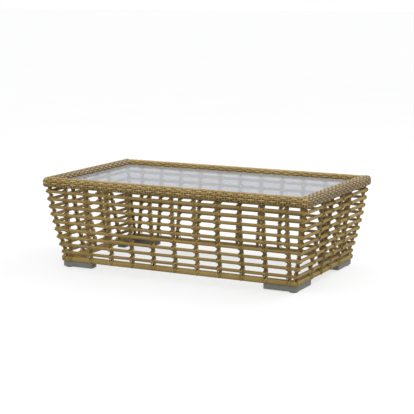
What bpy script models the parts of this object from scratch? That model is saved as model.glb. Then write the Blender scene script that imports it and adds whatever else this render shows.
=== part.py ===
"""Woven garden coffee table: a glass top in a woven rim, over an open lattice of round canes.

The lattice tapers down to a flat bottom rail on four L-shaped metal feet.
X runs along the table, the front is -Y, Z is up, and the origin is on the floor under the middle.
"""
import math

import bmesh
import bpy
from mathutils import Vector

# ---- Driving dimensions, in metres ----
LENGTH = 1.200
WIDTH = 0.690
HEIGHT = 0.382
GAP = 0.0003                # clearance between pieces that touch

RIM_WIDTH = 0.047
RIM_HEIGHT = 0.040
RIM_CORNER = 0.012          # plan radius of the rim's outer corners
RIM_ROUND = 0.016           # section radius of the rim's upper edges
RIM_UNDER_ROUND = 0.013     # section radius of its lower outer edge
RIM_SKIN = 0.004
RIM_UNDER_FLANGE = 0.018    # how far the weave turns in under the rim

TOP_FRAME_START = 0.0125    # inset of the channel's outer face from the rim's outer face
TOP_FRAME_WIDTH = 0.0275
TOP_FRAME_HEIGHT = 0.020
CHANNEL_SKIN = 0.002
LEDGE_REACH = 0.027
LEDGE_THICKNESS = 0.003

GLASS_THICKNESS = 0.005
GLASS_RECESS = 0.019        # rim top down to the glass
GLASS_EDGE_GAP = 0.0015
GLASS_CORNER = 0.006
GLASS_CHAMFER = 0.0008
PAD_THICKNESS = 0.0014
PAD_RADIUS = 0.006
PAD_INSET = 0.011            # pad centre from the edge of the glass opening

RAIL_LENGTH = 1.074
RAIL_WIDTH = 0.595
RAIL_DEPTH = 0.036          # bottom rail, outer face to inner face
RAIL_BOTTOM = 0.0265
RAIL_HEIGHT = 0.0175
RAIL_CORNER = 0.009
RAIL_ROUND = 0.004
RAIL_SKIN = 0.002
RAIL_SLOT = (0.012, 0.024)  # seam along the underside, from the outer face

ROD_COUNT = 9
ROD_DIAMETER = 0.0132
ROD_FIRST_Z = 0.0636
ROD_PITCH = 0.0324
ROD_CORNER = 0.012          # outer bend radius at the corners
WALL_BOTTOM = (0.540, 0.297)    # half size over the lowest rod
WALL_TOP = (0.5896, 0.3326)     # half size over the highest rod
WALL_BULGE = 0.0042         # how far the walls bow out at mid height

STAKE_DIAMETER = 0.009
STAKE_PITCH = 0.100
LONG_SIDE_STAKES = 11
SHORT_SIDE_STAKES = 4
STAKE_RINGS = 5             # cross-sections along one stake
STAKE_CLEARANCE = 0.0007    # room between rods and stakes where the wall leans
CORNER_STAKE_INSET = 0.0182  # corner stake centre from the rods' outer faces

FOOT_INSET = 0.003
FOOT_LEG_WIDTH = 0.038
FOOT_LONG_LEG = 0.141
FOOT_SHORT_LEG = 0.148
FOOT_CORNER = 0.006
FOOT_EDGE = 0.002
STUD_RADIUS = 0.0040
STUD_BORE_RADIUS = 0.0044
STUD_LENGTH = 0.017
BORE_DEPTH = 0.019
GLIDE_RADIUS = 0.018
GLIDE_HEIGHT = 0.0037
GLIDE_EDGE = 0.001
GLIDE_INSET = 0.021         # glide centre from the foot's outer faces

TIGHTEST_BEND = 0.003       # smallest plan radius on any ring
CANE_SIDES = 8

# ---- Heights that follow ----
RIM_BOTTOM = HEIGHT - RIM_HEIGHT
GLASS_TOP = HEIGHT - GLASS_RECESS
LEDGE_TOP = GLASS_TOP - GLASS_THICKNESS - PAD_THICKNESS - 2 * GAP
TOP_FRAME_BOTTOM = LEDGE_TOP - LEDGE_THICKNESS
RAIL_TOP = RAIL_BOTTOM + RAIL_HEIGHT
FOOT_BOTTOM = GLIDE_HEIGHT + GAP
FOOT_TOP = RAIL_BOTTOM - GAP
ROD_SPAN = (ROD_COUNT - 1) * ROD_PITCH

CORNERS = {"front_left": (-1, -1), "front_right": (1, -1), "back_right": (1, 1), "back_left": (-1, 1)}

# ---- Materials: base colour, roughness, metallic ----
CANE = ("cane", (0.34, 0.235, 0.090), 0.55, 0.0)
WEAVE = ("weave", (0.36, 0.25, 0.105), 0.60, 0.0)
FRAME_METAL = ("frame_metal", (0.20, 0.16, 0.11), 0.50, 1.0)
FOOT_METAL = ("foot_metal", (0.15, 0.155, 0.15), 0.55, 0.4)
GLASS = ("glass", (0.78, 0.82, 0.84), 0.05, 0.0)
BLACK_PLASTIC = ("black_plastic", (0.02, 0.02, 0.02), 0.60, 0.0)
CLEAR_RUBBER = ("clear_rubber", (0.60, 0.60, 0.58), 0.45, 0.0)


def clear_scene():
    for item in list(bpy.data.objects):
        bpy.data.objects.remove(item, do_unlink=True)


def material(spec):
    name, colour, roughness, metallic = spec
    found = bpy.data.materials.get(name)
    if found:
        return found
    made = bpy.data.materials.new(name)
    made.use_nodes = True
    shader = made.node_tree.nodes["Principled BSDF"]
    shader.inputs["Base Color"].default_value = (*colour, 1.0)
    shader.inputs["Roughness"].default_value = roughness
    shader.inputs["Metallic"].default_value = metallic
    return made


def add_object(name, shape, spec, place=(0.0, 0.0, 0.0), smooth_angle=40.0):
    """Turns a bmesh into a named object with outward faces and one material."""
    bmesh.ops.recalc_face_normals(shape, faces=shape.faces)
    mesh = bpy.data.meshes.new(name)
    shape.to_mesh(mesh)
    shape.free()
    mesh.materials.append(material(spec))
    mesh.shade_smooth()
    mesh.set_sharp_from_angle(angle=math.radians(smooth_angle))
    made = bpy.data.objects.new(name, mesh)
    made.location = place
    bpy.context.scene.collection.objects.link(made)
    return made


def rounded_loop(half_x, half_y, radius, z, steps=4):
    """Points of a rounded rectangle, anticlockwise from above."""
    points = []
    for quarter, (side_x, side_y) in enumerate(((1, 1), (-1, 1), (-1, -1), (1, -1))):
        centre = Vector((side_x * (half_x - radius), side_y * (half_y - radius), z))
        for step in range(steps + 1):
            angle = math.radians(90.0 * (quarter + step / steps))
            points.append(centre + radius * Vector((math.cos(angle), math.sin(angle), 0.0)))
    return points


def circle_loop(centre_x, centre_y, radius, z, sides):
    turn = 2.0 * math.pi / sides
    return [Vector((centre_x + radius * math.cos(turn * side), centre_y + radius * math.sin(turn * side), z))
            for side in range(sides)]


def skin_loops(loops, join_ends):
    """Faces between neighbouring loops; the ends are joined to each other or capped."""
    shape = bmesh.new()
    rows = [[shape.verts.new(point) for point in loop] for loop in loops]
    pairs = list(zip(rows, rows[1:]))
    if join_ends:
        pairs.append((rows[-1], rows[0]))
    else:
        shape.faces.new(list(reversed(rows[0])))
        shape.faces.new(rows[-1])
    for lower, upper in pairs:
        for index in range(len(lower)):
            after = (index + 1) % len(lower)
            shape.faces.new((lower[index], lower[after], upper[after], upper[index]))
    return shape


def ring(name, half_size, corner, profile, spec):
    """Sweeps a closed profile of (inset, height) points round a rectangle with rounded corners."""
    loops = [rounded_loop(half_size[0] - inset, half_size[1] - inset, max(corner - inset, TIGHTEST_BEND), z)
             for inset, z in profile]
    return add_object(name, skin_loops(loops, join_ends=True), spec)


def arc(centre, radius, start, end, steps):
    """Points on an arc in the (inset, height) plane, angles in degrees."""
    points = []
    for step in range(steps + 1):
        angle = math.radians(start + (end - start) * step / steps)
        points.append((centre[0] + radius * math.cos(angle), centre[1] + radius * math.sin(angle)))
    return points


def wall_half_size(z):
    """Half length and half width over the rods at height z."""
    rise = (z - ROD_FIRST_Z) / ROD_SPAN
    bulge = 4.0 * WALL_BULGE * rise * (1.0 - rise)
    return [low + (high - low) * rise + bulge for low, high in zip(WALL_BOTTOM, WALL_TOP)]


# ---- Rim, frame and glass ----
def rim_path(offset):
    """The rim's section from its lower flange over the top to its inner edge, shrunk by offset."""
    upper = RIM_ROUND - offset
    under = RIM_UNDER_ROUND - offset
    top_centre_z = HEIGHT - RIM_ROUND
    path = [(RIM_UNDER_FLANGE, RIM_BOTTOM + offset)]
    path += arc((RIM_UNDER_ROUND, RIM_BOTTOM + RIM_UNDER_ROUND), under, -90, -180, 3)
    path += arc((RIM_ROUND, top_centre_z), upper, 180, 90, 4)
    path += arc((RIM_WIDTH - RIM_ROUND, top_centre_z), upper, 90, 0, 4)
    path.append((RIM_WIDTH - offset, LEDGE_TOP + GAP))
    return path


def make_rim():
    profile = rim_path(0.0) + list(reversed(rim_path(RIM_SKIN)))
    ring("woven_rim", (LENGTH / 2, WIDTH / 2), RIM_CORNER, profile, WEAVE)


def make_top_frame():
    outer = TOP_FRAME_START
    inner = outer + TOP_FRAME_WIDTH
    low = TOP_FRAME_BOTTOM
    high = low + TOP_FRAME_HEIGHT
    profile = [
        (outer, low), (outer, high), (inner, high), (inner, LEDGE_TOP),
        (inner + LEDGE_REACH, LEDGE_TOP), (inner + LEDGE_REACH, low),
        (inner - CHANNEL_SKIN, low), (inner - CHANNEL_SKIN, high - CHANNEL_SKIN),
        (outer + CHANNEL_SKIN, high - CHANNEL_SKIN), (outer + CHANNEL_SKIN, low),
    ]
    ring("top_frame", (LENGTH / 2, WIDTH / 2), RIM_CORNER, profile, FRAME_METAL)


def make_glass():
    half_x = LENGTH / 2 - RIM_WIDTH - GLASS_EDGE_GAP
    half_y = WIDTH / 2 - RIM_WIDTH - GLASS_EDGE_GAP
    chamfer = GLASS_CHAMFER
    low = -GLASS_THICKNESS / 2
    high = GLASS_THICKNESS / 2
    steps = [(chamfer, low), (0.0, low + chamfer), (0.0, high - chamfer), (chamfer, high)]
    loops = [rounded_loop(half_x - inset, half_y - inset, GLASS_CORNER - inset, z) for inset, z in steps]
    middle = GLASS_TOP - GLASS_THICKNESS / 2
    add_object("glass_top", skin_loops(loops, join_ends=False), GLASS, (0.0, 0.0, middle), 30.0)


def make_glass_pads():
    inset = RIM_WIDTH + PAD_INSET
    for corner, (side_x, side_y) in CORNERS.items():
        loops = [circle_loop(0, 0, PAD_RADIUS, z, 12) for z in (0.0, PAD_THICKNESS)]
        place = (side_x * (LENGTH / 2 - inset), side_y * (WIDTH / 2 - inset), LEDGE_TOP + GAP)
        add_object(f"glass_pad_{corner}", skin_loops(loops, join_ends=False), CLEAR_RUBBER, place)


# ---- Lattice ----
def make_rods():
    radius = ROD_DIAMETER / 2
    for index in range(ROD_COUNT):
        z = ROD_FIRST_Z + index * ROD_PITCH
        profile = arc((radius, z), radius, 180, -180, CANE_SIDES)[:-1]
        ring(f"rod_{index + 1}", wall_half_size(z), ROD_CORNER, profile, CANE)


def stake_places():
    """Name, position along the side, and which way the wall lies, for each stake."""
    places = []
    long_start = -(LONG_SIDE_STAKES - 1) / 2
    short_start = -(SHORT_SIDE_STAKES - 1) / 2
    for side_name, side in (("front", -1), ("back", 1)):
        for index in range(LONG_SIDE_STAKES):
            places.append((f"stake_{side_name}_{index + 1}", (long_start + index) * STAKE_PITCH, (0, side)))
    for side_name, side in (("left", -1), ("right", 1)):
        for index in range(SHORT_SIDE_STAKES):
            places.append((f"stake_{side_name}_{index + 1}", (short_start + index) * STAKE_PITCH, (side, 0)))
    for corner, sides in CORNERS.items():
        places.append((f"stake_{corner}", 0.0, sides))
    return places


def make_stakes():
    """Upright canes just inside the rods, from the bottom rail up to the top frame."""
    low = RAIL_TOP + GAP
    high = TOP_FRAME_BOTTOM - GAP
    radius = STAKE_DIAMETER / 2
    inset = ROD_DIAMETER + radius + STAKE_CLEARANCE
    for name, along, (side_x, side_y) in stake_places():
        at_corner = side_x and side_y
        depth = CORNER_STAKE_INSET if at_corner else inset
        loops = []
        for step in range(STAKE_RINGS):
            z = low + (high - low) * step / (STAKE_RINGS - 1)
            half_x, half_y = wall_half_size(z)
            x = side_x * (half_x - depth) if side_x else along
            y = side_y * (half_y - depth) if side_y else along
            loops.append(circle_loop(x, y, radius, z, CANE_SIDES))
        add_object(name, skin_loops(loops, join_ends=False), CANE)


# ---- Bottom rail ----
def rail_path(offset):
    """The rail wrap's section from one lip of its underside seam round to the other."""
    bend = RAIL_ROUND - offset
    low = RAIL_BOTTOM + RAIL_ROUND
    high = RAIL_TOP - RAIL_ROUND
    near = RAIL_ROUND
    far = RAIL_DEPTH - RAIL_ROUND
    path = [(RAIL_SLOT[0], RAIL_BOTTOM + offset)]
    path += arc((near, low), bend, -90, -180, 2)
    path += arc((near, high), bend, 180, 90, 2)
    path += arc((far, high), bend, 90, 0, 2)
    path += arc((far, low), bend, 0, -90, 2)
    path.append((RAIL_SLOT[1], RAIL_BOTTOM + offset))
    return path


def make_bottom_rail():
    profile = rail_path(0.0) + list(reversed(rail_path(RAIL_SKIN)))
    ring("bottom_rail_wrap", (RAIL_LENGTH / 2, RAIL_WIDTH / 2), RAIL_CORNER, profile, WEAVE)


def make_bottom_frame():
    outer = RAIL_SKIN + GAP
    inner = RAIL_DEPTH - RAIL_SKIN - GAP
    low = RAIL_BOTTOM + RAIL_ROUND
    high = RAIL_TOP - RAIL_SKIN - GAP
    cut = RAIL_ROUND - RAIL_SKIN
    profile = [
        (outer, low), (outer, high - cut), (outer + cut, high), (inner - cut, high), (inner, high - cut),
        (inner, low), (inner - CHANNEL_SKIN, low), (inner - CHANNEL_SKIN, high - CHANNEL_SKIN),
        (outer + CHANNEL_SKIN, high - CHANNEL_SKIN), (outer + CHANNEL_SKIN, low),
    ]
    ring("bottom_frame", (RAIL_LENGTH / 2, RAIL_WIDTH / 2), RAIL_CORNER, profile, FRAME_METAL)


# ---- Feet ----
def foot_outline(side_x, side_y):
    """An L in plan, its outer corner at the origin and its legs running in from it."""
    corner = FOOT_CORNER
    points = []
    for step in range(5):
        angle = math.radians(180.0 + 90.0 * step / 4)
        points.append((corner + corner * math.cos(angle), corner + corner * math.sin(angle)))
    points += [
        (FOOT_LONG_LEG, 0.0), (FOOT_LONG_LEG, FOOT_LEG_WIDTH), (FOOT_LEG_WIDTH, FOOT_LEG_WIDTH),
        (FOOT_LEG_WIDTH, FOOT_SHORT_LEG), (0.0, FOOT_SHORT_LEG),
    ]
    return [(-side_x * x, -side_y * y) for x, y in points]


def bore_cutter(name, place):
    """A guide cylinder that drills the glide's blind bore up into a foot."""
    below = 0.005
    loops = [circle_loop(0, 0, STUD_BORE_RADIUS, z, 16) for z in (-below, BORE_DEPTH)]
    cutter = add_object(name, skin_loops(loops, join_ends=False), BLACK_PLASTIC, place)
    cutter.hide_render = True
    cutter.display_type = "WIRE"
    return cutter


def make_foot(corner, side_x, side_y):
    outline = foot_outline(side_x, side_y)
    loops = [[Vector((x, y, z)) for x, y in outline] for z in (0.0, FOOT_TOP - FOOT_BOTTOM)]
    place = (side_x * (RAIL_LENGTH / 2 - FOOT_INSET), side_y * (RAIL_WIDTH / 2 - FOOT_INSET), FOOT_BOTTOM)
    foot = add_object(f"foot_{corner}", skin_loops(loops, join_ends=False), FOOT_METAL, place)
    edges = foot.modifiers.new("rounded_edges", "BEVEL")
    edges.width = FOOT_EDGE
    edges.segments = 2
    edges.limit_method = "ANGLE"
    edges.angle_limit = math.radians(50.0)
    cutter_place = (place[0] - side_x * GLIDE_INSET, place[1] - side_y * GLIDE_INSET, place[2])
    bore = foot.modifiers.new("glide_bore", "BOOLEAN")
    bore.operation = "DIFFERENCE"
    bore.object = bore_cutter(f"bore_guide_{corner}", cutter_place)


def make_glide(corner, side_x, side_y):
    """A levelling glide: a round pad under the foot's corner, on a stud that stands in its bore."""
    edge = GLIDE_EDGE
    steps = [
        (GLIDE_RADIUS - edge, 0.0), (GLIDE_RADIUS, edge), (GLIDE_RADIUS, GLIDE_HEIGHT),
        (STUD_RADIUS, GLIDE_HEIGHT), (STUD_RADIUS, GLIDE_HEIGHT + STUD_LENGTH),
    ]
    loops = [circle_loop(0, 0, radius, z, 20) for radius, z in steps]
    place = (side_x * (RAIL_LENGTH / 2 - FOOT_INSET - GLIDE_INSET),
             side_y * (RAIL_WIDTH / 2 - FOOT_INSET - GLIDE_INSET), 0.0)
    add_object(f"glide_{corner}", skin_loops(loops, join_ends=False), BLACK_PLASTIC, place)


def main():
    clear_scene()
    make_rim()
    make_top_frame()
    make_glass()
    make_glass_pads()
    make_rods()
    make_stakes()
    make_bottom_rail()
    make_bottom_frame()
    for corner, (side_x, side_y) in CORNERS.items():
        make_foot(corner, side_x, side_y)
        make_glide(corner, side_x, side_y)


main()
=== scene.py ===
"""Looks of the woven garden coffee table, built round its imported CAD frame.

The nine canes, the uprights with their lashings, the woven rim and the wrapped bottom rail are made here
as real strands. The metal frames, feet, glides and pads stay as CAD nodes with better materials.
X runs along the table, the front is -Y, Z is up, and everything is in metres.
"""

import math

import bmesh
import bpy
import numpy as np
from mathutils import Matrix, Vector


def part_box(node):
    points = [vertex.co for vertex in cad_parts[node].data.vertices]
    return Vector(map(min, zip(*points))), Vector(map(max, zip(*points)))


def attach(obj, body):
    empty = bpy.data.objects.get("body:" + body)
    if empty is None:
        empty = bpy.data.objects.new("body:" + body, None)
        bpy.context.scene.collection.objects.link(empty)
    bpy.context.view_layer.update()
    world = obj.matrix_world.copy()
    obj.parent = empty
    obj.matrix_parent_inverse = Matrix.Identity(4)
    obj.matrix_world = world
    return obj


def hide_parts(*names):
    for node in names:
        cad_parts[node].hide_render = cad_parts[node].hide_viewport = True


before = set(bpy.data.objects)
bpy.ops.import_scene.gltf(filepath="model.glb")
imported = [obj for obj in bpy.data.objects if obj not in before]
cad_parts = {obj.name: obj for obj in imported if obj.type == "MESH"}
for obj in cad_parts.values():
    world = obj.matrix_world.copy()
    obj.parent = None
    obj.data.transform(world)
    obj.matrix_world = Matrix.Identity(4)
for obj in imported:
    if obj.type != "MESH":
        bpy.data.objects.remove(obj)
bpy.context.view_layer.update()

# ---- Sizes taken from the frame ----
UP = np.array((0.0, 0.0, 1.0))
ROD_NAMES = [f"rod_{number}" for number in range(1, 10)]
RIM_LOW, RIM_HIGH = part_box("woven_rim")
RAIL_LOW, RAIL_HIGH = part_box("bottom_rail_wrap")
GLASS_LOW, GLASS_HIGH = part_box("glass_top")
FOOT_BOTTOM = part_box("foot_front_left")[0].z
RODS = [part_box(name) for name in ROD_NAMES]
ROD_Z = [(low.z + high.z) / 2 for low, high in RODS]
ROD_RADIUS = (RODS[0][1].z - RODS[0][0].z) / 2
ROD_PITCH = (ROD_Z[-1] - ROD_Z[0]) / (len(ROD_Z) - 1)
WALL_X = np.polyfit(ROD_Z, [high.x for low, high in RODS], 2)     # half length over the rods, by height
WALL_Y = np.polyfit(ROD_Z, [high.y for low, high in RODS], 2)     # half width, the same way
ROD_BEND = 0.012            # outer bend radius of the canes at the corners

# ---- Canes ----
CANE_SIDES = 14
CANE_STEP = 0.012
CANE_BEND_STEP = 0.002
CANE_WANDER_OUT = 0.0006
CANE_WANDER_UP = 0.0010
CANE_SWELL = 0.03           # share of a cane's radius by which it varies

# ---- Uprights and their lashings ----
CORE_RADIUS = 0.0062
CORE_BEHIND = 0.0040        # how far an upright stands behind the middle of the canes
CORE_STEP = 0.008
CORE_SIDES = 14
CORE_INTO_RAIL = 0.003
CORE_INTO_RIM = 0.008
CORNER_CORE_BEHIND = 0.0055  # the same at the corners
CORNER_CORE_RADIUS = 0.0056
LASHING_RADIUS = 0.0023
LASHING_SIDES = 8
LASHING_STEP = 0.0016
LASHING_INTO_RIM = 0.003
LASHING_AXIS_BEHIND = 0.002  # the line a lashing winds round, behind the middle of the canes
CORNER_LASHING_OUT = 0.0004  # how far a lashing's middle stands out past a cane's face at a corner
CROSSING_LIFT = 1.7         # lashing radii by which one lashing passes over the other
CROSSING_SHARPNESS = 2.2    # the higher, the longer a lashing stays at the front and back of its turn
# Height, distance out from the rail's face, and share of the lashing's sideways reach, up the rail's face
LASHING_FOOT = ((0.0275, -0.0005, 0.02), (0.0290, 0.0012, 0.10), (0.0330, 0.0019, 0.36),
                (0.0380, 0.0020, 0.66), (0.0425, 0.0016, 0.90), (0.0468, -0.0020, 1.02))

# ---- Woven rim ----
RIM_WIDTH = 0.047
RIM_ROUND = 0.016
RIM_UNDER_ROUND = 0.013
RIM_UNDER_FLANGE = 0.018
RIM_CORNER = 0.012
TIGHTEST_BEND = 0.003
ROW_COUNT = 13              # strands across the rim's section
LONG_REPEAT = 0.0450        # along a row on a long side, from one cross strand to the next
SHORT_REPEAT = 0.0390       # the same on a short side
SHORT_FULLNESS = 0.0016     # the short sides are woven a little fuller
LONG_CROSS_LIT_TONE = 0.7       # lowest tone of a cross strand on a long side; set high, a painted highlight on the raised cross strands
SHORT_CROSS_TONE = 0.4
CROSS_TONE_RANGE = 0.3
STRAND_HALF_WIDTH = 0.0036
STRAND_PINCH = 0.0016       # taken off the half width where a strand dives
STRAND_DOME = 0.0019        # height of a strand's back over its edges
STRAND_DIP = 0.0032         # how far a strand dives under a cross strand
DIVE_REACH = 0.28           # share of a repeat, from a cross strand to where the strand is up again
DIVE_SLOPE = 0.10           # share of a repeat over which it goes down
STRAND_STEP = 0.0022
STRAND_WANDER = 0.0016
STRAND_END_TUCK = 0.003     # how far a strand's ends go down into the corner
STRAND_END_RUN = 0.004      # over this length, which has no cross strands
CROSS_HALF_WIDTH = 0.0016
CROSS_HALF_HEIGHT = 0.0013
CROSS_SIDES = 5
CROSS_OVERHANG = 0.12       # share of a row by which a cross strand passes its own row
CROSS_RISE = 0.0003
CROSS_END_DROP = 0.0024
CROSS_LEAN = 0.0012
CROSS_EDGE_ROOM = 0.0005    # kept free at the two ends of the rim's section
SEAM_HALF_WIDTH = 0.0027    # the strand over each corner
SEAM_DOME = 0.0015
SEAM_DEPTH = 0.0016
RIM_BELOW_GLASS = 0.0017    # how far the rim's inner side goes down past the glass
# The rim's near-black band under the weave is painted shade for the gaps between its strands.
RIM_SHADE_SHEET_DEPTH = 0.0046
RIM_SHADE_SHEET_THICKNESS = 0.0010

# ---- Wrapped bottom rail ----
RAIL_CORNER = 0.009
RAIL_ROUND = 0.004
RAIL_DEPTH = 0.036
RAIL_STRAND = 0.0052        # pitch of the flat strands round the rail
RAIL_STRAND_STEP = 0.012
RAIL_STRAND_BEND_STEP = 0.0015
RAIL_STRAND_DOME = 0.0010
RAIL_STRAND_SET_IN = 0.0009
RAIL_STRAND_OVERLAP = 0.54  # half width of a strand as a share of the pitch
# The rail's near-black core under its strands is painted shade for the gaps between them.
RAIL_SHADE_SHEET_SET_IN = 0.0012

# ---- Glass ----
GLASS_CORNER = 0.006
GLASS_EDGE_ROUND = 0.0011
GLASS_EDGE_STEPS = 8
GLASS_IOR = 1.07            # low, so that the panel mirrors little of the rim

# ---- Foot screws, each a button head with a hexagon socket ----
SCREW_RUNS = (0.062, 0.118)  # along each leg of a foot, from its outer corner
SCREW_INSET = 0.019         # from the leg's outer face
SCREW_PROFILE = ((0.0052, 0.0), (0.0050, -0.0007), (0.0040, -0.0013), (0.0026, -0.0016))
SCREW_SIDES = 24
SOCKET_RADIUS = 0.0018      # a screw's hexagon socket, middle to corner
SOCKET_DEPTHS = (-0.0016, -0.0003)

# ---- Stage ----
FLOOR_HALF_SIZE = 60.0
CAMERA_PLACE = (2.4021, -4.6912, 1.1528)
CAMERA_AZIMUTH = 27.15      # degrees from the front round to the right
CAMERA_ELEVATION = 9.70
CAMERA_LENS = 110.54

CORNERS = {"front_left": (-1, -1), "front_right": (1, -1), "back_right": (1, 1), "back_left": (-1, 1)}
SIDES = {"front": (0, -1), "back": (0, 1), "left": (-1, 0), "right": (1, 0)}

rng = np.random.default_rng(7)


# ---- Strand meshes ----
class Strands:
    """Gathers swept strands, then makes them one mesh.

    Each point keeps its length along the strand, its place round it and the strand's own tone, which the
    materials read, so that streaks run with the strand.
    """

    def __init__(self):
        self.points = []
        self.faces = []
        self.grain = []
        self.tone = []
        self.count = 0

    def add(self, path, side, lift, section, closed=False, tone=None):
        """Sweeps section, an array of (across, out) pairs or one such array for each point of path."""
        section = np.broadcast_to(section, (len(path),) + np.shape(section)[-2:])
        sides = section.shape[1]
        ring = (path[:, None, :] + section[:, :, :1] * side[:, None, :]
                + section[:, :, 1:] * lift[:, None, :])
        steps = np.linalg.norm(np.diff(path, axis=0), axis=1)
        along = np.concatenate(([0.0], np.cumsum(steps)))
        grain = np.empty(ring.shape)
        grain[:, :, 0] = along[:, None]
        grain[:, :, 1:] = section
        index = self.count + np.arange(len(path) * sides).reshape(len(path), sides)
        after = np.roll(index, -1, axis=1)
        if closed:
            low, high = index, np.roll(index, -1, axis=0)
            low_after, high_after = after, np.roll(after, -1, axis=0)
        else:
            low, high = index[:-1], index[1:]
            low_after, high_after = after[:-1], after[1:]
            self.faces.append(index[0][::-1].tolist())
            self.faces.append(index[-1].tolist())
        quads = np.stack((low, low_after, high_after, high), axis=-1).reshape(-1, 4)
        self.faces.extend(quads.tolist())
        self.points.append(ring.reshape(-1, 3))
        self.grain.append(grain.reshape(-1, 3))
        self.tone.append(np.full(len(path) * sides, rng.random() if tone is None else tone))
        self.count += len(path) * sides

    def build(self, name, material):
        mesh = bpy.data.meshes.new(name)
        mesh.from_pydata(np.concatenate(self.points), [], self.faces)
        grain = mesh.attributes.new("grain", "FLOAT_VECTOR", "POINT")
        grain.data.foreach_set("vector", np.concatenate(self.grain).astype(np.float32).ravel())
        tone = mesh.attributes.new("tone", "FLOAT", "POINT")
        tone.data.foreach_set("value", np.concatenate(self.tone).astype(np.float32))
        shape = bmesh.new()
        shape.from_mesh(mesh)
        bmesh.ops.recalc_face_normals(shape, faces=shape.faces)
        shape.to_mesh(mesh)
        shape.free()
        mesh.shade_smooth()
        mesh.set_sharp_from_angle(angle=math.radians(70.0))
        mesh.materials.append(material)
        made = bpy.data.objects.new(name, mesh)
        bpy.context.scene.collection.objects.link(made)
        return made


def oval(half_width, half_height, sides):
    """A closed oval section of (across, out) pairs."""
    angle = 2.0 * np.pi * np.arange(sides) / sides
    return np.stack((half_width * np.cos(angle), half_height * np.sin(angle)), axis=1)


def unit(vectors):
    return vectors / np.linalg.norm(vectors, axis=-1, keepdims=True)


def flat(points, z):
    """Plan points with a height."""
    return np.column_stack((points, np.broadcast_to(z, len(points))))


def smooth(values, rounds):
    """Softens a run of points, its two ends staying where they are."""
    for _ in range(rounds):
        values[1:-1] = (values[:-2] + 2.0 * values[1:-1] + values[2:]) / 4.0
    return values


def resample(points, step):
    """The same run of points at an even spacing."""
    lengths = np.linalg.norm(np.diff(points, axis=0), axis=1)
    along = np.concatenate(([0.0], np.cumsum(lengths)))
    wanted = np.linspace(0.0, along[-1], max(2, round(along[-1] / step)))
    return np.stack([np.interp(wanted, along, points[:, axis]) for axis in range(3)], axis=1)


def sweep_frame(path, out):
    """Across and out directions for a strand on path that faces roughly along out."""
    tangent = unit(np.gradient(path, axis=0))
    across = unit(np.cross(tangent, out))
    return across, unit(np.cross(across, tangent))


def rounded_rectangle(half_x, half_y, radius, step, bend_step):
    """Plan points and outward normals round a rectangle with rounded corners, anticlockwise."""
    points = []
    normals = []
    turns = max(3, round(radius * np.pi / 2 / bend_step))
    for quarter, (sign_x, sign_y) in enumerate(((1, 1), (-1, 1), (-1, -1), (1, -1))):
        centre = np.array((sign_x * (half_x - radius), sign_y * (half_y - radius)))
        angle = np.radians(90.0) * (quarter + np.arange(turns + 1) / turns)
        normal = np.stack((np.cos(angle), np.sin(angle)), axis=1)
        points.append(centre + radius * normal)
        normals.append(normal)
        span = 2.0 * (half_x if quarter % 2 == 0 else half_y) - 2.0 * radius
        count = max(1, round(span / step))
        travel = np.array((-normal[-1][1], normal[-1][0]))
        between = np.arange(1, count)[:, None] * span / count
        points.append(centre + radius * normal[-1] + between * travel)
        normals.append(np.tile(normal[-1], (count - 1, 1)))
    return np.concatenate(points), np.concatenate(normals)


# ---- Materials ----
def new_material(name):
    """A material with its Principled shader and tree, ready for a pattern."""
    made = bpy.data.materials.new(name)
    made.use_nodes = True
    tree = made.node_tree
    return made, tree, tree.nodes["Principled BSDF"]


def add_node(tree, kind, inputs=None, **settings):
    """Adds one node; inputs maps socket names or numbers to values or to sockets."""
    node = tree.nodes.new("ShaderNode" + kind)
    for key, value in settings.items():
        setattr(node, key, value)
    for key, value in (inputs or {}).items():
        if isinstance(value, bpy.types.NodeSocket):
            tree.links.new(value, node.inputs[key])
        else:
            node.inputs[key].default_value = value
    return node


def noise(tree, place, scale, detail=3.0, roughness=0.5):
    inputs = {"Vector": place, "Scale": scale, "Detail": detail, "Roughness": roughness}
    return add_node(tree, "TexNoise", inputs).outputs["Fac"]


def ramp(tree, factor, stops):
    """A colour ramp through stops of (position, colour)."""
    node = add_node(tree, "ValToRGB", {"Fac": factor})
    elements = node.color_ramp.elements
    for index, (position, colour) in enumerate(stops):
        element = elements[index] if index < 2 else elements.new(position)
        element.position = position
        element.color = (*colour, 1.0)
    return node.outputs["Color"]


def remap(tree, value, low, high):
    """Value from 0..1 to low..high."""
    return add_node(tree, "MapRange", {"Value": value, "To Min": low, "To Max": high}).outputs["Result"]


def math_node(tree, operation, first, second):
    return add_node(tree, "Math", {0: first, 1: second}, operation=operation).outputs[0]


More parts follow.
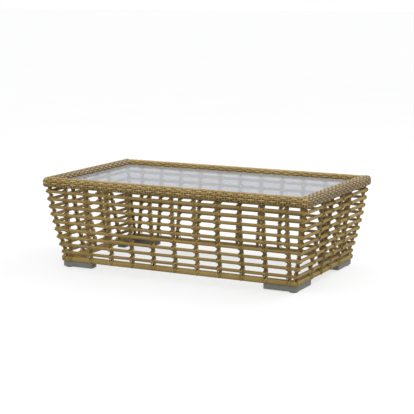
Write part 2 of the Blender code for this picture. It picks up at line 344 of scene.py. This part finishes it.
def strand_material(name, dark, middle, light, streak=1.0):
    """Synthetic cane: streaks along each strand, a tone for each strand, slow patches and a soft gloss."""
    made, tree, shader = new_material(name)
    grain = add_node(tree, "Attribute", attribute_name="grain").outputs["Vector"]
    tone = add_node(tree, "Attribute", attribute_name="tone").outputs["Fac"]
    shift = add_node(tree, "CombineXYZ", {"X": math_node(tree, "MULTIPLY", tone, 3.1)}).outputs[0]
    stretch = add_node(tree, "VectorMath", {0: grain, 1: (14.0, 700.0, 700.0)}, operation="MULTIPLY")
    place = add_node(tree, "VectorMath", {0: stretch.outputs[0], 1: shift}, operation="ADD").outputs[0]
    streaks = noise(tree, place, 1.0, 4.0, 0.6)
    where = add_node(tree, "TexCoord").outputs["Object"]
    patches = noise(tree, where, 9.0, 2.0)
    blend = math_node(tree, "MULTIPLY", remap(tree, streaks, -0.5, 0.5), streak)
    blend = math_node(tree, "ADD", blend, remap(tree, tone, 0.28, 0.72))
    blend = math_node(tree, "ADD", blend, remap(tree, patches, -0.22, 0.22))
    colour = ramp(tree, blend, ((0.0, dark), (0.5, middle), (1.0, light)))
    tree.links.new(colour, shader.inputs["Base Color"])
    tree.links.new(remap(tree, streaks, 0.40, 0.66), shader.inputs["Roughness"])
    shader.inputs["Specular IOR Level"].default_value = 0.28
    fine = noise(tree, place, 2.6, 3.0)
    bump = add_node(tree, "Bump", {"Height": fine, "Strength": 0.35, "Distance": 0.0004})
    tree.links.new(bump.outputs["Normal"], shader.inputs["Normal"])
    return made


def coated_metal(name, dark, light, roughness, speckle):
    """Powder-coated metal: a fine orange-peel surface and slight mottling."""
    made, tree, shader = new_material(name)
    where = add_node(tree, "TexCoord").outputs["Object"]
    mottle = noise(tree, where, 45.0, 4.0, 0.6)
    peel = noise(tree, where, speckle, 2.0)
    mixed = math_node(tree, "ADD", remap(tree, mottle, 0.0, 0.75), remap(tree, peel, -0.1, 0.35))
    tree.links.new(ramp(tree, mixed, ((0.15, dark), (0.85, light))), shader.inputs["Base Color"])
    tree.links.new(remap(tree, mottle, roughness - 0.1, roughness + 0.12), shader.inputs["Roughness"])
    shader.inputs["Metallic"].default_value = 0.25
    bump = add_node(tree, "Bump", {"Height": peel, "Strength": 0.3, "Distance": 0.0003})
    tree.links.new(bump.outputs["Normal"], shader.inputs["Normal"])
    return made


def moulded(name, dark, light, roughness, grain_scale):
    """Moulded plastic or rubber with a fine grain."""
    made, tree, shader = new_material(name)
    where = add_node(tree, "TexCoord").outputs["Object"]
    grain = noise(tree, where, grain_scale, 3.0)
    tree.links.new(ramp(tree, grain, ((0.3, dark), (0.7, light))), shader.inputs["Base Color"])
    tree.links.new(remap(tree, grain, roughness - 0.08, roughness + 0.1), shader.inputs["Roughness"])
    bump = add_node(tree, "Bump", {"Height": grain, "Strength": 0.2, "Distance": 0.0003})
    tree.links.new(bump.outputs["Normal"], shader.inputs["Normal"])
    return made


def clear_glass(name, tint_and_veil, clearness, smudge):
    """Glass with a pale diffuse veil, a painted reflection of the bright surroundings that hides part of what
    is behind it, and faint wipe marks.
    """
    made, tree, shader = new_material(name)
    where = add_node(tree, "TexCoord").outputs["Object"]
    marks = noise(tree, where, 5.0, 5.0, 0.65)
    paler = tuple(min(1.0, channel * 1.03) for channel in tint_and_veil)
    tree.links.new(ramp(tree, marks, ((0.3, tint_and_veil), (0.7, paler))), shader.inputs["Base Color"])
    tree.links.new(remap(tree, marks, 0.0, smudge), shader.inputs["Roughness"])
    shader.inputs["Transmission Weight"].default_value = clearness
    shader.inputs["IOR"].default_value = GLASS_IOR
    return made


def floor_material():
    """A white floor that looks full bright, while it throws little light back up on the table."""
    made, tree, shader = new_material("pale_floor")
    where = add_node(tree, "TexCoord").outputs["Object"]
    mottle = noise(tree, where, 1.5, 2.0)
    shader.inputs["Roughness"].default_value = 0.9
    shader.inputs["Specular IOR Level"].default_value = 0.0
    tree.links.new(ramp(tree, mottle, ((0.0, (0.22, 0.22, 0.22)), (1.0, (0.24, 0.24, 0.24)))),
                   shader.inputs["Base Color"])
    shader.inputs["Emission Color"].default_value = (1.0, 1.0, 1.0, 1.0)
    shader.inputs["Emission Strength"].default_value = 0.70
    dim = add_node(tree, "BsdfDiffuse", {"Color": (0.28, 0.28, 0.29, 1.0)})
    thrown = add_node(tree, "LightPath").outputs["Is Diffuse Ray"]
    mix = add_node(tree, "MixShader", {"Fac": thrown, 1: shader.outputs[0], 2: dim.outputs[0]})
    tree.links.new(mix.outputs[0], tree.nodes["Material Output"].inputs["Surface"])
    return made


CANE = strand_material("cane", (0.13, 0.082, 0.018), (0.315, 0.208, 0.056), (0.47, 0.34, 0.124))
# The uprights' cane is darker than the canes: painted shade, for the uprights standing behind the canes.
SHADED_UPRIGHT = strand_material("upright_cane", (0.09, 0.056, 0.013), (0.215, 0.142, 0.040), (0.34, 0.24, 0.088))
# The lashings are lighter than the canes: painted light, for the lit lashings crossing in front of the canes.
LIT_LASHING = strand_material("lashing", (0.17, 0.112, 0.030), (0.38, 0.268, 0.088), (0.54, 0.41, 0.175))
LONG_WEAVE = strand_material("long_weave", (0.15, 0.095, 0.026), (0.362, 0.245, 0.083), (0.56, 0.41, 0.17))
# The short sides' weave is greyer and darker than the long sides': painted shade, for the different light on
# the short sides.
SHADED_SHORT_WEAVE = strand_material("short_weave_painted_shade", (0.095, 0.065, 0.028), (0.262, 0.186, 0.090),
                              (0.39, 0.298, 0.155))
RAIL_WRAP = strand_material("rail_wrap", (0.13, 0.085, 0.019), (0.31, 0.208, 0.054), (0.45, 0.33, 0.116), 0.7)
# Near-black painted shade, for the shadow in the gaps of the rim's weave and between the rail's strands.
SHADE_SHEET = strand_material("weave_shade_sheet", (0.022, 0.015, 0.006), (0.04, 0.027, 0.011), (0.07, 0.047, 0.021))
FRAME_METAL = coated_metal("frame_coat", (0.055, 0.040, 0.026), (0.12, 0.09, 0.06), 0.5, 1400.0)
FOOT_METAL = coated_metal("foot_coat", (0.132, 0.133, 0.120), (0.245, 0.243, 0.215), 0.62, 1100.0)
SCREW_STEEL = coated_metal("screw_steel", (0.30, 0.30, 0.30), (0.45, 0.45, 0.44), 0.35, 2500.0)
BLACK_PLASTIC = moulded("black_plastic_look", (0.012, 0.012, 0.012), (0.03, 0.03, 0.03), 0.55, 900.0)
CLEAR_RUBBER = moulded("clear_rubber_look", (0.52, 0.52, 0.50), (0.66, 0.66, 0.63), 0.42, 500.0)
# The faces' pale grey base colour is a painted reflection of the bright surroundings; the edges' greener tint
# is the glass's own, under the same painted veil.
GLASS_FACE_PAINTED_VEIL = clear_glass("glass_face_painted_reflection", (0.435, 0.442, 0.454), 0.65, 0.05)
GLASS_EDGE = clear_glass("glass_edge", (0.60, 0.74, 0.68), 0.60, 0.12)


# ---- Canes round the base ----
def drift(along, length, strength):
    """A slow wander that closes on itself, so that a cane isn't ruler straight."""
    total = np.zeros(len(along))
    for waves in (3, 5, 9, 14):
        total += np.sin(2.0 * np.pi * (waves * along / length + rng.random())) / waves
    return strength * total


def make_rods():
    for name, (low, high) in zip(ROD_NAMES, RODS):
        bend = ROD_BEND - ROD_RADIUS
        plan, normal = rounded_rectangle(high.x - ROD_RADIUS, high.y - ROD_RADIUS, bend, CANE_STEP,
                                         CANE_BEND_STEP)
        steps = np.linalg.norm(np.roll(plan, -1, axis=0) - plan, axis=1)
        along = np.concatenate(([0.0], np.cumsum(steps)[:-1]))
        length = steps.sum()
        plan = plan + normal * drift(along, length, CANE_WANDER_OUT)[:, None]
        path = flat(plan, (low.z + high.z) / 2 + drift(along, length, CANE_WANDER_UP))
        side = np.tile(UP, (len(path), 1))
        swell = 1.0 + drift(along, length, CANE_SWELL)
        section = swell[:, None, None] * oval(ROD_RADIUS, ROD_RADIUS, CANE_SIDES)
        strands = Strands()
        strands.add(path, side, flat(normal, 0.0), section, closed=True, tone=0.35 + 0.3 * rng.random())
        cane = strands.build(f"cane_{name}", CANE)
        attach(cane, "table")
        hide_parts(name)


# ---- Uprights, with two lashings wound round each, one each way, that cross in front of every cane ----
def cane_line(z, side_x, side_y, along):
    """Plan position of the canes' middle at height z, for an upright on a side or at a corner."""
    half_x = np.polyval(WALL_X, z)
    half_y = np.polyval(WALL_Y, z)
    depth = ROD_RADIUS
    if side_x and side_y:
        depth = ROD_BEND - (ROD_BEND - ROD_RADIUS) / math.sqrt(2.0)
    x = side_x * (half_x - depth) if side_x else along
    y = side_y * (half_y - depth) if side_y else along
    return np.array((x, y))


def rail_face(side_x, side_y, along):
    """Plan position on the bottom rail's outer face at an upright."""
    depth = 0.0
    if side_x and side_y:
        depth = RAIL_CORNER * (1.0 - 1.0 / math.sqrt(2.0))
    x = side_x * (RAIL_HIGH.x - depth) if side_x else along
    y = side_y * (RAIL_HIGH.y - depth) if side_y else along
    return np.array((x, y))


def upright_core(side_x, side_y, along, out):
    """Path of an upright, from inside the bottom rail up into the rim."""
    heights = np.arange(RAIL_HIGH.z - CORE_INTO_RAIL, RIM_LOW.z + CORE_INTO_RIM, CORE_STEP)
    behind = CORNER_CORE_BEHIND if side_x and side_y else CORE_BEHIND
    return np.array([(*(cane_line(z, side_x, side_y, along) - behind * out), z) for z in heights])


def lashing_path(side_x, side_y, along, hand, out, across):
    """One lashing: a V's leg over the rail's face, then one turn round the upright for every cane."""
    front = ROD_RADIUS + (CORNER_LASHING_OUT if side_x and side_y else LASHING_RADIUS)
    back = CORE_BEHIND + CORE_RADIUS + LASHING_RADIUS
    wide = CORE_RADIUS + LASHING_RADIUS
    face = rail_face(side_x, side_y, along)
    points = []
    for z, beyond, share in LASHING_FOOT:
        points.append((*(face + beyond * out - share * hand * wide * across), z))
    for z in np.arange(ROD_Z[0] - 0.25 * ROD_PITCH, RIM_LOW.z + LASHING_INTO_RIM, LASHING_STEP / 2):
        turn = 2.0 * math.pi * (z - ROD_Z[0]) / ROD_PITCH
        swing = math.tanh(CROSSING_SHARPNESS * math.cos(turn)) / math.tanh(CROSSING_SHARPNESS)
        depth = (front - back) / 2 + (front + back) / 2 * swing
        if hand > 0:
            depth += math.copysign(CROSSING_LIFT * LASHING_RADIUS * math.cos(turn) ** 8, math.cos(turn))
        plan = cane_line(z, side_x, side_y, along) + depth * out + hand * wide * math.sin(turn) * across
        points.append((*plan, z))
    return smooth(resample(np.array(points), LASHING_STEP), 2)


def make_upright(name, side_x, side_y, along):
    out = unit(np.array((side_x, side_y), float))
    across = np.array((-out[1], out[0]))
    facing = np.array((*out, 0.0))
    place = name[len("stake_"):]
    core = upright_core(side_x, side_y, along, out)
    stem = Strands()
    radius = CORNER_CORE_RADIUS if side_x and side_y else CORE_RADIUS
    stem.add(core, *sweep_frame(core, facing), oval(radius, radius, CORE_SIDES))
    # The upright gets the darker cane, painted shade behind the canes.
    upright = stem.build(f"upright_{place}", SHADED_UPRIGHT)
    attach(upright, "table")
    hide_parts(name)
    strands = Strands()
    section = oval(LASHING_RADIUS, LASHING_RADIUS, LASHING_SIDES)
    for hand in (1, -1):
        path = lashing_path(side_x, side_y, along, hand, out, across)
        axis = np.array([(*(cane_line(z, side_x, side_y, along) - LASHING_AXIS_BEHIND * out), z)
                         for z in path[:, 2]])
        strands.add(path, *sweep_frame(path, unit(path - axis)), section)
    # The lashings get the lighter cane, painted light on their fronts.
    lashing = strands.build(f"lashing_{place}", LIT_LASHING)
    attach(lashing, "table")


def make_uprights():
    for name in sorted(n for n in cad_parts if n.startswith("stake_")):
        place = name[len("stake_"):]
        if place in CORNERS:
            make_upright(name, *CORNERS[place], 0.0)
            continue
        side_x, side_y = SIDES[place.split("_")[0]]
        low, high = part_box(name)
        middle = (low + high) / 2
        make_upright(name, side_x, side_y, middle.x if side_y else middle.y)


# ---- Woven rim ----
def rim_section():
    """Points and lengths along the rim's section, from its lower flange to its inner edge."""
    def bend(centre, radius, start, end):
        angle = np.radians(np.linspace(start, end, 12))
        return np.stack((centre[0] + radius * np.cos(angle), centre[1] + radius * np.sin(angle)), axis=1)

    top = RIM_HIGH.z - RIM_ROUND
    under = RIM_LOW.z + RIM_UNDER_ROUND
    path = np.concatenate((
        [(RIM_UNDER_FLANGE, RIM_LOW.z)],
        bend((RIM_UNDER_ROUND, under), RIM_UNDER_ROUND, -90, -180),
        bend((RIM_ROUND, top), RIM_ROUND, 180, 90),
        bend((RIM_WIDTH - RIM_ROUND, top), RIM_ROUND, 90, 0),
        [(RIM_WIDTH, GLASS_LOW.z - RIM_BELOW_GLASS)],
    ))
    lengths = np.linalg.norm(np.diff(path, axis=0), axis=1)
    along = np.concatenate(([0.0], np.cumsum(lengths)))
    return path, along


RIM_PATH, RIM_ALONG = rim_section()
ROW_PITCH = RIM_ALONG[-1] / ROW_COUNT


def rim_at(t):
    """Inset, height, and outward normal as (inset, height), at length t along the section."""
    t = np.clip(t, 0.0, RIM_ALONG[-1])
    small = 0.0004
    point = np.stack([np.interp(t, RIM_ALONG, RIM_PATH[:, axis]) for axis in (0, 1)], axis=-1)
    ahead = np.stack([np.interp(t + small, RIM_ALONG, RIM_PATH[:, axis]) for axis in (0, 1)], axis=-1)
    behind = np.stack([np.interp(t - small, RIM_ALONG, RIM_PATH[:, axis]) for axis in (0, 1)], axis=-1)
    tangent = unit(ahead - behind)
    normal = np.stack((-tangent[..., 1], tangent[..., 0]), axis=-1)
    return point, normal


class RimSide:
    """One side of the rim, out to the middle of the corner at each end."""

    def __init__(self, side_x, side_y):
        self.out = np.array((side_x, side_y), float)
        self.along = np.array((-side_y, side_x), float)
        self.half_length = RIM_HIGH.x if side_y else RIM_HIGH.y
        self.half_depth = RIM_HIGH.y if side_y else RIM_HIGH.x
        self.end = self.half_length - RIM_CORNER + RIM_CORNER * math.pi / 4
        self.fullness = SHORT_FULLNESS if side_x else 0.0
        # Cross strands on the long sides are set lighter than their rows: painted highlight on the raised
        # cross strands.
        self.cross_tone = SHORT_CROSS_TONE if side_x else LONG_CROSS_LIT_TONE
        self.repeat = SHORT_REPEAT if side_x else LONG_REPEAT

    def place(self, u, t, height):
        """World point and its outward normal at u along the side, t round the section, height over it."""
        u, t, height = np.broadcast_arrays(np.asarray(u, float), t, height)
        point, normal = rim_at(t)
        inset = point[..., 0]
        radius = np.maximum(RIM_CORNER - inset, TIGHTEST_BEND)
        straight = self.half_length - inset - radius
        reach = np.minimum((self.end - straight), RIM_CORNER * math.pi / 4)
        angle = np.clip((np.abs(u) - straight) / reach, 0.0, 1.0) * math.pi / 4
        sign = np.sign(u)
        plan_normal = (np.cos(angle)[..., None] * self.out + (sign * np.sin(angle))[..., None] * self.along)
        held = np.where(np.abs(u) < straight, u, sign * straight)
        centre = held[..., None] * self.along + (self.half_depth - inset - radius)[..., None] * self.out
        plan = centre + radius[..., None] * plan_normal
        lift = np.concatenate((-normal[..., :1] * plan_normal, normal[..., 1:]), axis=-1)
        world = np.concatenate((plan, point[..., 1:]), axis=-1)
        return world + (height + self.fullness)[..., None] * lift, unit(lift)


def ribbon(half_width, height):
    """A strand's section with a domed back and a nearly flat underside."""
    return np.array(((1.0, 0.0), (0.72, 0.72), (0.0, 1.0), (-0.72, 0.72), (-1.0, 0.0), (0.0, -0.3))) * (
        half_width, height)


def strand_on_rim(strands, side, u, t, height, section, tone=None):
    path, lift = side.place(u, t, height)
    tangent = unit(np.gradient(path, axis=0))
    across = unit(np.cross(tangent, lift))
    strands.add(path, across, unit(np.cross(across, tangent)), section, tone=tone)


def basket_weave(side):
    """Rows of long strands that dive under short cross strands, each row half a repeat on from the last."""
    strands = Strands()
    u = np.linspace(-side.end, side.end, round(2 * side.end / STRAND_STEP))
    tuck = STRAND_END_TUCK * np.clip(1.0 - (side.end - np.abs(u)) / STRAND_END_RUN, 0.0, 1.0)
    cross_section = oval(CROSS_HALF_WIDTH, CROSS_HALF_HEIGHT, CROSS_SIDES)
    crosses = int(side.end / side.repeat)
    for row in range(ROW_COUNT):
        shift = 0.5 * (row % 2)
        wander = drift(u + side.end, 2 * side.end, STRAND_WANDER)
        repeats = (u + wander) / side.repeat - shift
        away = repeats - np.round(repeats)
        under = np.clip((DIVE_REACH - np.abs(away)) / DIVE_SLOPE, 0.0, 1.0)
        under = under * under * (3.0 - 2.0 * under)
        widths = np.stack((STRAND_HALF_WIDTH - STRAND_PINCH * under, np.ones(len(u))), axis=1)
        section = ribbon(1.0, STRAND_DOME) * widths[:, None, :]
        height = -STRAND_DOME - STRAND_DIP * under - tuck
        strand_on_rim(strands, side, u, (row + 0.5) * ROW_PITCH + 0.15 * wander, height, section)
        for cross in range(-crosses - 1, crosses + 2):
            place = (cross + shift) * side.repeat
            place = place - np.interp(place, u, wander)
            if abs(place) > side.end - STRAND_END_RUN:
                continue
            t = (row + np.linspace(-CROSS_OVERHANG, 1.0 + CROSS_OVERHANG, 7)) * ROW_PITCH
            t = t[(t > CROSS_EDGE_ROOM) & (t < RIM_ALONG[-1] - CROSS_EDGE_ROOM)]
            across_row = np.linspace(-1.0, 1.0, len(t))
            height = CROSS_RISE - CROSS_END_DROP * across_row ** 4 - CROSS_HALF_HEIGHT
            lean = rng.uniform(-CROSS_LEAN, CROSS_LEAN) * across_row
            strand_on_rim(strands, side, place + lean, t, height, cross_section,
                          tone=side.cross_tone + CROSS_TONE_RANGE * rng.random())
    return strands


def make_rim():
    for name, (side_x, side_y) in SIDES.items():
        side = RimSide(side_x, side_y)
        # The short sides get the greyer, darker weave: painted shade.
        weave = basket_weave(side).build(f"rim_weave_{name}", LONG_WEAVE if side_y else SHADED_SHORT_WEAVE)
        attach(weave, "table")
        if name == "front":
            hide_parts("woven_rim")
    for name, (side_x, side_y) in CORNERS.items():
        side = RimSide(0, side_y)
        strands = Strands()
        t = np.linspace(0.0, RIM_ALONG[-1], 90)
        u = np.full(len(t), side.end * side_x * side.along[0])
        section = ribbon(SEAM_HALF_WIDTH, SEAM_DOME)
        strand_on_rim(strands, side, u, t, np.full(len(t), -SEAM_DEPTH), section, tone=0.55)
        seam = strands.build(f"rim_corner_{name}", LONG_WEAVE)
        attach(seam, "table")


def ring_shell(name, half_x, half_y, corner, profile, material):
    """A closed band with the given (inset, height) profile round a rounded rectangle."""
    shape = bmesh.new()
    rows = []
    for inset, z in profile:
        radius = max(corner - inset, TIGHTEST_BEND)
        plan, _ = rounded_rectangle(half_x - inset, half_y - inset, radius, 10.0, radius * np.pi / 12)
        rows.append([shape.verts.new((x, y, z)) for x, y in plan])
    for low, high in zip(rows, rows[1:] + rows[:1]):
        for index in range(len(low)):
            after = (index + 1) % len(low)
            shape.faces.new((low[index], low[after], high[after], high[index]))
    bmesh.ops.recalc_face_normals(shape, faces=shape.faces)
    mesh = bpy.data.meshes.new(name)
    shape.to_mesh(mesh)
    shape.free()
    mesh.shade_smooth()
    mesh.set_sharp_from_angle(angle=math.radians(40.0))
    mesh.materials.append(material)
    made = bpy.data.objects.new(name, mesh)
    bpy.context.scene.collection.objects.link(made)
    return made


def make_rim_shade_sheet():
    """A near-black band just under the weave, painted shade seen in the gaps between its strands."""
    t = np.linspace(0.0, RIM_ALONG[-1], 40)
    point, normal = rim_at(t)
    near = point - RIM_SHADE_SHEET_DEPTH * normal
    far = point - (RIM_SHADE_SHEET_DEPTH + RIM_SHADE_SHEET_THICKNESS) * normal
    profile = np.concatenate((near, far[::-1]))
    shade_sheet = ring_shell("rim_shade_sheet", RIM_HIGH.x, RIM_HIGH.y, RIM_CORNER, profile, SHADE_SHEET)
    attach(shade_sheet, "table")


# ---- Wrapped bottom rail ----
def rail_section():
    """Points of the rail's section as (inset, height), round from its underside."""
    low = RAIL_LOW.z + RAIL_ROUND
    high = RAIL_HIGH.z - RAIL_ROUND
    near = RAIL_ROUND
    far = RAIL_DEPTH - RAIL_ROUND
    points = []
    for centre, start in (((near, low), -90), ((near, high), 180), ((far, high), 90), ((far, low), 0)):
        for angle in np.radians(np.linspace(start, start - 90, 8)):
            points.append((centre[0] + RAIL_ROUND * math.cos(angle),
                           centre[1] + RAIL_ROUND * math.sin(angle)))
    points.append(points[0])
    return np.array(points)


def make_bottom_rail():
    section = rail_section()
    lengths = np.linalg.norm(np.diff(section, axis=0), axis=1)
    along = np.concatenate(([0.0], np.cumsum(lengths)))
    rows = round(along[-1] / RAIL_STRAND)
    pitch = along[-1] / rows
    strands = Strands()
    small = 0.0003
    for row in range(rows):
        t = (row + 0.5) * pitch
        inset, z = (np.interp(t, along, section[:, axis]) for axis in (0, 1))
        step = [np.interp(t + small, along, section[:, axis]) - np.interp(t - small, along, section[:, axis])
                for axis in (0, 1)]
        tangent = unit(np.array(step))
        normal = np.array((-tangent[1], tangent[0]))
        inset, z = np.array((inset, z)) - RAIL_STRAND_SET_IN * normal
        radius = max(RAIL_CORNER - inset, TIGHTEST_BEND)
        plan, plan_normal = rounded_rectangle(RAIL_HIGH.x - inset, RAIL_HIGH.y - inset, radius,
                                              RAIL_STRAND_STEP, RAIL_STRAND_BEND_STEP)
        path = flat(plan, z)
        lift = flat(-normal[0] * plan_normal, normal[1])
        side = flat(-tangent[0] * plan_normal, tangent[1])
        strands.add(path, side, lift, ribbon(RAIL_STRAND_OVERLAP * pitch, RAIL_STRAND_DOME), closed=True)
    wrap = strands.build("rail_strands", RAIL_WRAP)
    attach(wrap, "table")
    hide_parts("bottom_rail_wrap")
    # A near-black core under the rail's strands: painted shade in the gaps between them.
    centre = section[:-1].mean(axis=0)
    core = [tuple(centre + (point - centre) * (1.0 - RAIL_SHADE_SHEET_SET_IN / np.abs(point - centre).max()))
            for point in section[:-1]]
    shade_sheet = ring_shell("rail_shade_sheet", RAIL_HIGH.x, RAIL_HIGH.y, RAIL_CORNER, core, SHADE_SHEET)
    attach(shade_sheet, "table")


# ---- Glass ----
def make_glass():
    """The glass panel with polished, rounded edges and a greener tint in them."""
    half_x = GLASS_HIGH.x
    half_y = GLASS_HIGH.y
    middle = (GLASS_HIGH.z + GLASS_LOW.z) / 2
    half = (GLASS_HIGH.z - GLASS_LOW.z) / 2
    shape = bmesh.new()
    rows = []
    for step in range(GLASS_EDGE_STEPS + 1):
        angle = math.radians(-90 + 180 * step / GLASS_EDGE_STEPS)
        inset = GLASS_EDGE_ROUND * (1.0 - math.cos(angle))
        z = middle
        if step != GLASS_EDGE_STEPS // 2:
            z += math.copysign(half - GLASS_EDGE_ROUND, angle) + GLASS_EDGE_ROUND * math.sin(angle)
        corner = GLASS_CORNER - inset
        plan, _ = rounded_rectangle(half_x - inset, half_y - inset, corner, 10.0, corner * np.pi / 16)
        rows.append([shape.verts.new((x, y, z)) for x, y in plan])
    for low, high in zip(rows, rows[1:]):
        for index in range(len(low)):
            after = (index + 1) % len(low)
            shape.faces.new((low[index], low[after], high[after], high[index])).material_index = 1
    broad = [shape.faces.new(rows[0][::-1]), shape.faces.new(rows[-1])]
    bmesh.ops.recalc_face_normals(shape, faces=shape.faces)
    for face in shape.faces:
        face.smooth = face not in broad
    mesh = bpy.data.meshes.new("glass_panel")
    shape.to_mesh(mesh)
    shape.free()
    # The faces' pale veil is a painted reflection.
    mesh.materials.append(GLASS_FACE_PAINTED_VEIL)
    mesh.materials.append(GLASS_EDGE)
    glass = bpy.data.objects.new("glass_panel", mesh)
    bpy.context.scene.collection.objects.link(glass)
    glass.visible_shadow = False
    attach(glass, "glass")
    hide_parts("glass_top")


# ---- Metal, plastic and rubber nodes kept from the CAD ----
def dress(name, material):
    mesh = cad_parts[name].data
    mesh.materials.clear()
    mesh.materials.append(material)


def dress_frame():
    dress("top_frame", FRAME_METAL)
    dress("bottom_frame", FRAME_METAL)
    for corner in CORNERS:
        dress(f"foot_{corner}", FOOT_METAL)
        dress(f"glide_{corner}", BLACK_PLASTIC)
        dress(f"glass_pad_{corner}", CLEAR_RUBBER)


def screw_head(shape, x, y, z):
    """A button head with a hexagon socket, facing down from height z."""
    angles = [2 * math.pi * side / SCREW_SIDES for side in range(SCREW_SIDES)]
    rows = [[shape.verts.new((x + radius * math.cos(angle), y + radius * math.sin(angle), z + drop))
             for angle in angles] for radius, drop in SCREW_PROFILE]
    for depth in SOCKET_DEPTHS:
        ring = []
        for angle in angles:
            face = math.cos(math.pi / 6) / math.cos((angle % (math.pi / 3)) - math.pi / 6)
            radius = SOCKET_RADIUS * face
            place = (x + radius * math.cos(angle), y + radius * math.sin(angle), z + depth)
            ring.append(shape.verts.new(place))
        rows.append(ring)
    for low, high in zip(rows, rows[1:]):
        for index in range(SCREW_SIDES):
            after = (index + 1) % SCREW_SIDES
            shape.faces.new((low[index], low[after], high[after], high[index]))
    shape.faces.new(rows[0])
    shape.faces.new(rows[-1])


def make_foot_screws():
    """Two screws up through each leg of each foot into the bottom frame."""
    for corner, (side_x, side_y) in CORNERS.items():
        low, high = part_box(f"foot_{corner}")
        outer_x = high.x if side_x > 0 else low.x
        outer_y = high.y if side_y > 0 else low.y
        shape = bmesh.new()
        for run in SCREW_RUNS:
            screw_head(shape, outer_x - side_x * run, outer_y - side_y * SCREW_INSET, FOOT_BOTTOM)
            screw_head(shape, outer_x - side_x * SCREW_INSET, outer_y - side_y * run, FOOT_BOTTOM)
        bmesh.ops.recalc_face_normals(shape, faces=shape.faces)
        mesh = bpy.data.meshes.new(f"foot_screws_{corner}")
        shape.to_mesh(mesh)
        shape.free()
        mesh.shade_smooth()
        mesh.set_sharp_from_angle(angle=math.radians(35.0))
        mesh.materials.append(SCREW_STEEL)
        screws = bpy.data.objects.new(mesh.name, mesh)
        bpy.context.scene.collection.objects.link(screws)
        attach(screws, "table")


# ---- Stage, light and camera ----
def make_stage():
    corners = [(x * FLOOR_HALF_SIZE, y * FLOOR_HALF_SIZE, 0) for x, y in ((-1, -1), (1, -1), (1, 1), (-1, 1))]
    mesh = bpy.data.meshes.new("floor")
    mesh.from_pydata(corners, [], [(0, 1, 2, 3)])
    mesh.materials.append(floor_material())
    floor = bpy.data.objects.new("floor", mesh)
    bpy.context.scene.collection.objects.link(floor)


def area_light(name, place, target, size, power):
    data = bpy.data.lights.new(name, "AREA")
    data.shape = "DISK"
    data.size = size
    data.energy = power
    light = bpy.data.objects.new(name, data)
    light.location = place
    light.rotation_euler = (Vector(target) - Vector(place)).to_track_quat("-Z", "Y").to_euler()
    bpy.context.scene.collection.objects.link(light)


def make_light():
    """A white backdrop, a soft sky that is brightest overhead, and a broad key light from behind."""
    world = bpy.data.worlds.new("studio")
    world.use_nodes = True
    tree = world.node_tree
    background = tree.nodes["Background"]
    background.inputs["Strength"].default_value = 1.45
    direction = add_node(tree, "TexCoord").outputs["Generated"]
    height = add_node(tree, "SeparateXYZ", {"Vector": direction}).outputs["Z"]
    sky = ramp(tree, height, ((0.0, (0.52, 0.53, 0.55)), (1.0, (1.00, 1.00, 1.00))))
    seen = add_node(tree, "LightPath").outputs["Is Camera Ray"]
    mixed = add_node(tree, "MixRGB", {"Fac": seen, "Color1": sky, "Color2": (0.69, 0.69, 0.69, 1.0)})
    tree.links.new(mixed.outputs[0], background.inputs["Color"])
    bpy.context.scene.world = world
    area_light("key", (1.6, 2.2, 3.2), (0.0, 0.0, 0.2), 2.2, 70.0)
    area_light("fill", (-2.2, -3.2, 2.8), (0.0, 0.0, 0.2), 2.6, 25.0)
    bpy.context.scene.view_settings.view_transform = "Standard"


def make_camera():
    """The photograph's view: from the front right, a little above."""
    data = bpy.data.cameras.new("camera")
    data.sensor_width = 36.0
    data.lens = CAMERA_LENS
    data.clip_end = 200.0
    camera = bpy.data.objects.new("camera", data)
    camera.location = CAMERA_PLACE
    azimuth = math.radians(CAMERA_AZIMUTH)
    elevation = math.radians(CAMERA_ELEVATION)
    forward = Vector((-math.sin(azimuth) * math.cos(elevation), math.cos(azimuth) * math.cos(elevation),
                      -math.sin(elevation)))
    camera.rotation_euler = forward.to_track_quat("-Z", "Y").to_euler()
    bpy.context.scene.collection.objects.link(camera)
    bpy.context.scene.camera = camera


make_rods()
make_uprights()
make_rim()
make_rim_shade_sheet()
make_bottom_rail()
make_glass()
dress_frame()
make_foot_screws()
make_stage()
make_light()
make_camera()
